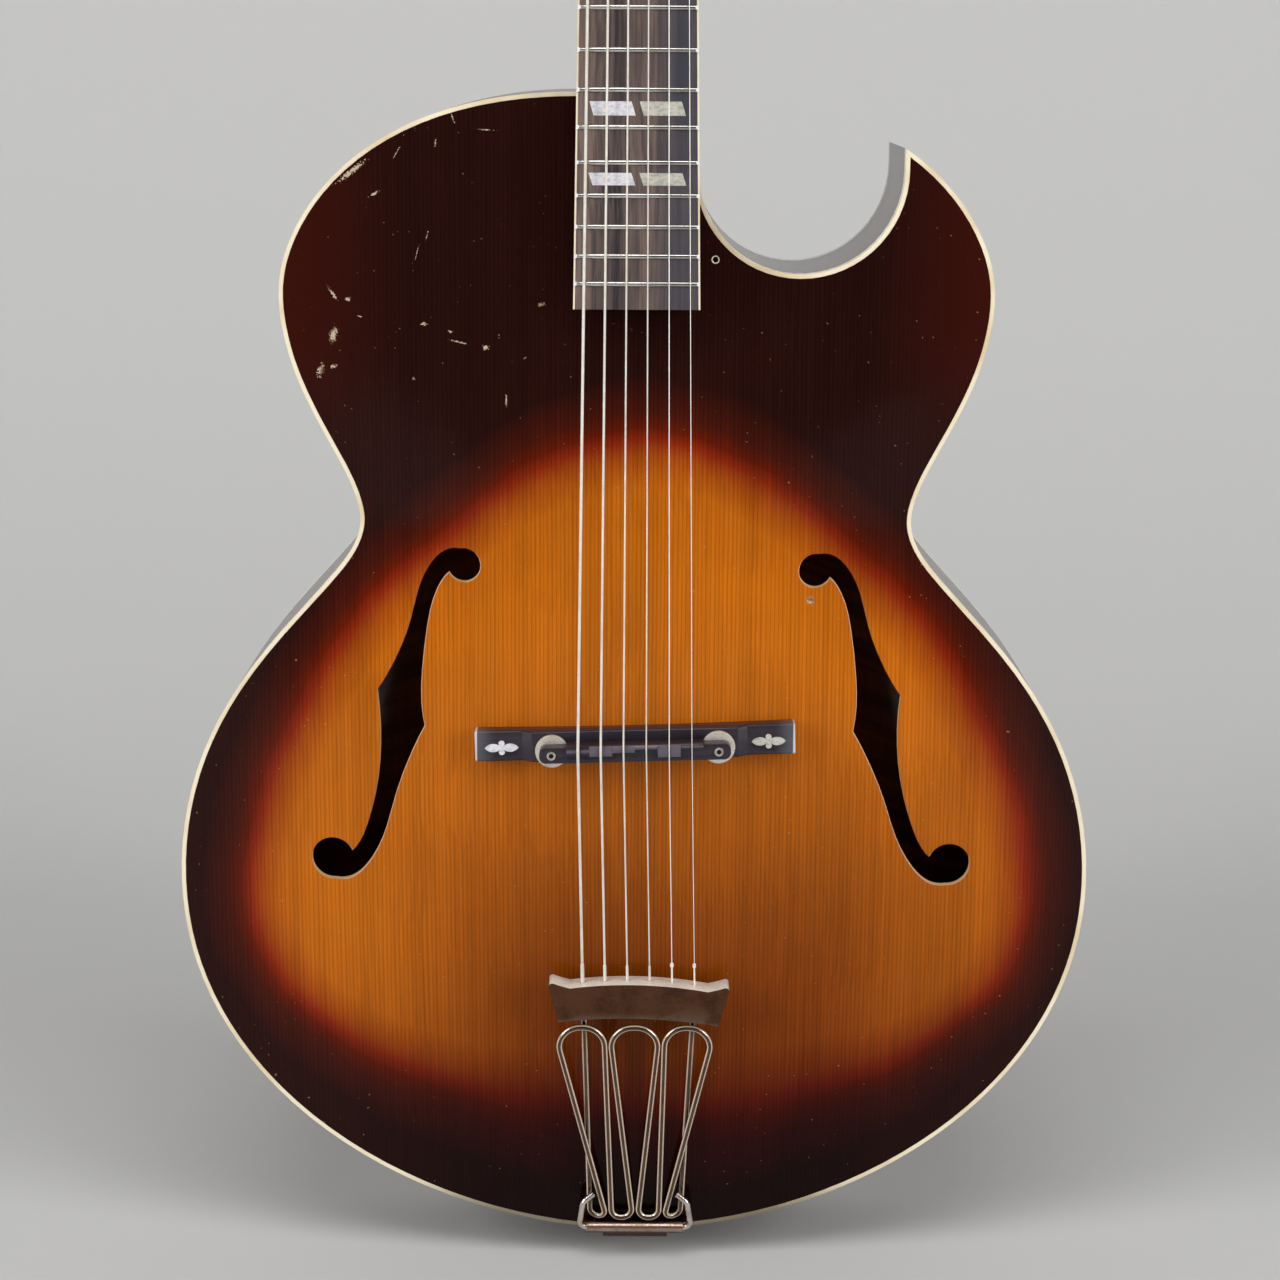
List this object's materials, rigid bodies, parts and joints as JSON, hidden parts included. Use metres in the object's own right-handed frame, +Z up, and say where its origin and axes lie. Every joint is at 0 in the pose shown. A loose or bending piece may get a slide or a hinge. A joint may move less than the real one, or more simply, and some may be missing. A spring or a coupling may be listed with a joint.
{
  "type": "archtop guitar",
  "caption": "Hollow archtop guitar with arched plates, f-shaped sound holes, a pointed cutaway, floating height-adjustable bridge, wire trapeze tailpiece and worm-geared tuners.",
  "frame": {"origin": "on the end pin axis, at the lowest place of the tail, half way through the rim", "axes": "+Z up the neck towards the head, -Y the way the soundboard faces, +X towards the cutaway side"},
  "size_m": [0.4146, 0.1398, 1.0629],
  "materials": {
    "spruce_sunburst": "aged amber sunburst lacquer on straight-grained spruce, near black at the edge",
    "maple_sunburst": "dark brown sunburst lacquer on figured maple",
    "neck_finish": "dark brown lacquer on mahogany",
    "cream_binding": "aged cream celluloid binding",
    "bare_spruce": "bare spruce and mahogany inside the body",
    "heel_black": "black plate",
    "rosewood": "dark oiled rosewood",
    "fret_metal": "nickel silver wire",
    "pearl": "pearl shell",
    "bone": "aged bone",
    "black_veneer": "black lacquered veneer",
    "tool_steel": "plain steel",
    "nickel": "aged nickel plate",
    "tail_bronze": "worn plated tailpiece, bronze toned",
    "end_pin_cream": "cream end pin",
    "button_cream": "aged cream buttons",
    "string_steel": "plain steel string",
    "string_wound": "round wound string"
  },
  "bodies": {
    "guitar": {"back_binding": "cream_binding", "back_plate": "maple_sunburst", "bridge_base": "rosewood", "bridge_inlays": "pearl", "bridge_posts": "nickel", "end_pin": "end_pin_cream", "fingerboard": "rosewood", "fingerboard_binding": "cream_binding", "frets": "fret_metal", "head_screws": "nickel", "headstock_veneer": "black_veneer", "heel_cap": "heel_black", "linings": "bare_spruce", "neck": "neck_finish", "neck_block": "bare_spruce", "nut": "bone", "position_inlays": "pearl", "side_bass": "maple_sunburst", "side_treble": "maple_sunburst", "soundboard": "spruce_sunburst", "string_1": "string_steel", "string_2": "string_steel", "string_3": "string_wound", "string_4": "string_wound", "string_5": "string_wound", "string_6": "string_wound", "tail_block": "bare_spruce", "tail_screws": "tail_bronze", "tailpiece_bracket": "tail_bronze", "tone_bars": "bare_spruce", "top_binding": "cream_binding", "truss_rod": "tool_steel", "truss_rod_cover": "black_veneer", "tuner_bushings": "nickel", "tuner_housings": "nickel"},
    "tuner_knob_1": {"tuner_worm_1": "nickel", "tuner_button_1": "button_cream"},
    "tuner_post_1": {"tuner_post_1": "nickel"},
    "tuner_knob_2": {"tuner_worm_2": "nickel", "tuner_button_2": "button_cream"},
    "tuner_post_2": {"tuner_post_2": "nickel"},
    "tuner_knob_3": {"tuner_worm_3": "nickel", "tuner_button_3": "button_cream"},
    "tuner_post_3": {"tuner_post_3": "nickel"},
    "tuner_knob_4": {"tuner_worm_4": "nickel", "tuner_button_4": "button_cream"},
    "tuner_post_4": {"tuner_post_4": "nickel"},
    "tuner_knob_5": {"tuner_worm_5": "nickel", "tuner_button_5": "button_cream"},
    "tuner_post_5": {"tuner_post_5": "nickel"},
    "tuner_knob_6": {"tuner_worm_6": "nickel", "tuner_button_6": "button_cream"},
    "tuner_post_6": {"tuner_post_6": "nickel"},
    "bridge_saddle": {"bridge_saddle": "rosewood"},
    "thumbwheel_bass": {"thumbwheel_bass": "nickel"},
    "thumbwheel_treble": {"thumbwheel_treble": "nickel"},
    "tailpiece": {"tailpiece_bar": "tail_bronze", "tailpiece_wires": "tail_bronze", "tailpiece_hinge_pin": "tail_bronze"}
  },
  "joints": [
    {"name": "tuner_knob_1_turn", "type": "hinge", "parent": "guitar", "child": "tuner_knob_1", "pos_m": [0.024, -0.00045, 0.92389], "axis": [1, 0, 0], "continuous": true},
    {"name": "tuner_post_1_turn", "type": "hinge", "parent": "guitar", "child": "tuner_post_1", "pos_m": [0.024, -0.00648, 0.91939], "axis": [0, 0.9536, -0.3012], "continuous": true},
    {"name": "tuner_knob_2_turn", "type": "hinge", "parent": "guitar", "child": "tuner_knob_2", "pos_m": [0.0262, 0.0116, 0.96203], "axis": [1, 0, 0], "continuous": true},
    {"name": "tuner_post_2_turn", "type": "hinge", "parent": "guitar", "child": "tuner_post_2", "pos_m": [0.0262, 0.00557, 0.95754], "axis": [0, 0.9536, -0.3012], "continuous": true},
    {"name": "tuner_knob_3_turn", "type": "hinge", "parent": "guitar", "child": "tuner_knob_3", "pos_m": [0.0284, 0.02365, 1.00017], "axis": [1, 0, 0], "continuous": true},
    {"name": "tuner_post_3_turn", "type": "hinge", "parent": "guitar", "child": "tuner_post_3", "pos_m": [0.0284, 0.01762, 0.99568], "axis": [0, 0.9536, -0.3012], "continuous": true},
    {"name": "tuner_knob_4_turn", "type": "hinge", "parent": "guitar", "child": "tuner_knob_4", "pos_m": [-0.0284, 0.01998, 0.98854], "axis": [-1, 0, 0], "continuous": true},
    {"name": "tuner_post_4_turn", "type": "hinge", "parent": "guitar", "child": "tuner_post_4", "pos_m": [-0.0284, 0.01762, 0.99568], "axis": [0, 0.9536, -0.3012], "continuous": true},
    {"name": "tuner_knob_5_turn", "type": "hinge", "parent": "guitar", "child": "tuner_knob_5", "pos_m": [-0.0262, 0.00793, 0.9504], "axis": [-1, 0, 0], "continuous": true},
    {"name": "tuner_post_5_turn", "type": "hinge", "parent": "guitar", "child": "tuner_post_5", "pos_m": [-0.0262, 0.00557, 0.95754], "axis": [0, 0.9536, -0.3012], "continuous": true},
    {"name": "tuner_knob_6_turn", "type": "hinge", "parent": "guitar", "child": "tuner_knob_6", "pos_m": [-0.024, -0.00412, 0.91225], "axis": [-1, 0, 0], "continuous": true},
    {"name": "tuner_post_6_turn", "type": "hinge", "parent": "guitar", "child": "tuner_post_6", "pos_m": [-0.024, -0.00648, 0.91939], "axis": [0, 0.9536, -0.3012], "continuous": true},
    {"name": "bridge_height", "type": "slide", "parent": "guitar", "child": "bridge_saddle", "axis": [0, -1, 0], "range_m": [-0.0005, 0.004], "deforming": ["string_1", "string_2", "string_3", "string_4", "string_5", "string_6"]},
    {"name": "thumbwheel_bass_turn", "type": "hinge", "parent": "bridge_saddle", "child": "thumbwheel_bass", "pos_m": [-0.03668, -0.07, 0.23931], "axis": [0, -1, 0], "range_deg": [-257.15, 2057.15]},
    {"name": "thumbwheel_treble_turn", "type": "hinge", "parent": "bridge_saddle", "child": "thumbwheel_treble", "pos_m": [0.03728, -0.07, 0.24163], "axis": [0, -1, 0], "range_deg": [-257.15, 2057.15]},
    {"name": "tailpiece_swing", "type": "hinge", "parent": "guitar", "child": "tailpiece", "pos_m": [0.0013, -0.0477, 0.003], "axis": [1, 0, 0], "range_deg": [-1.5, 4], "stiffness_Nm_per_rad": 40, "deforming": ["string_1", "string_2", "string_3", "string_4", "string_5", "string_6"]}
  ],
  "couplings": [
    {"joint": "tuner_post_1_turn", "follows": "tuner_knob_1_turn", "ratio": -0.066667},
    {"joint": "tuner_post_2_turn", "follows": "tuner_knob_2_turn", "ratio": -0.066667},
    {"joint": "tuner_post_3_turn", "follows": "tuner_knob_3_turn", "ratio": -0.066667},
    {"joint": "tuner_post_4_turn", "follows": "tuner_knob_4_turn", "ratio": -0.066667},
    {"joint": "tuner_post_5_turn", "follows": "tuner_knob_5_turn", "ratio": -0.066667},
    {"joint": "tuner_post_6_turn", "follows": "tuner_knob_6_turn", "ratio": -0.066667},
    {"joint": "thumbwheel_bass_turn", "follows": "bridge_height", "rad_per_m": 8976},
    {"joint": "thumbwheel_treble_turn", "follows": "bridge_height", "rad_per_m": 8976}
  ]
}
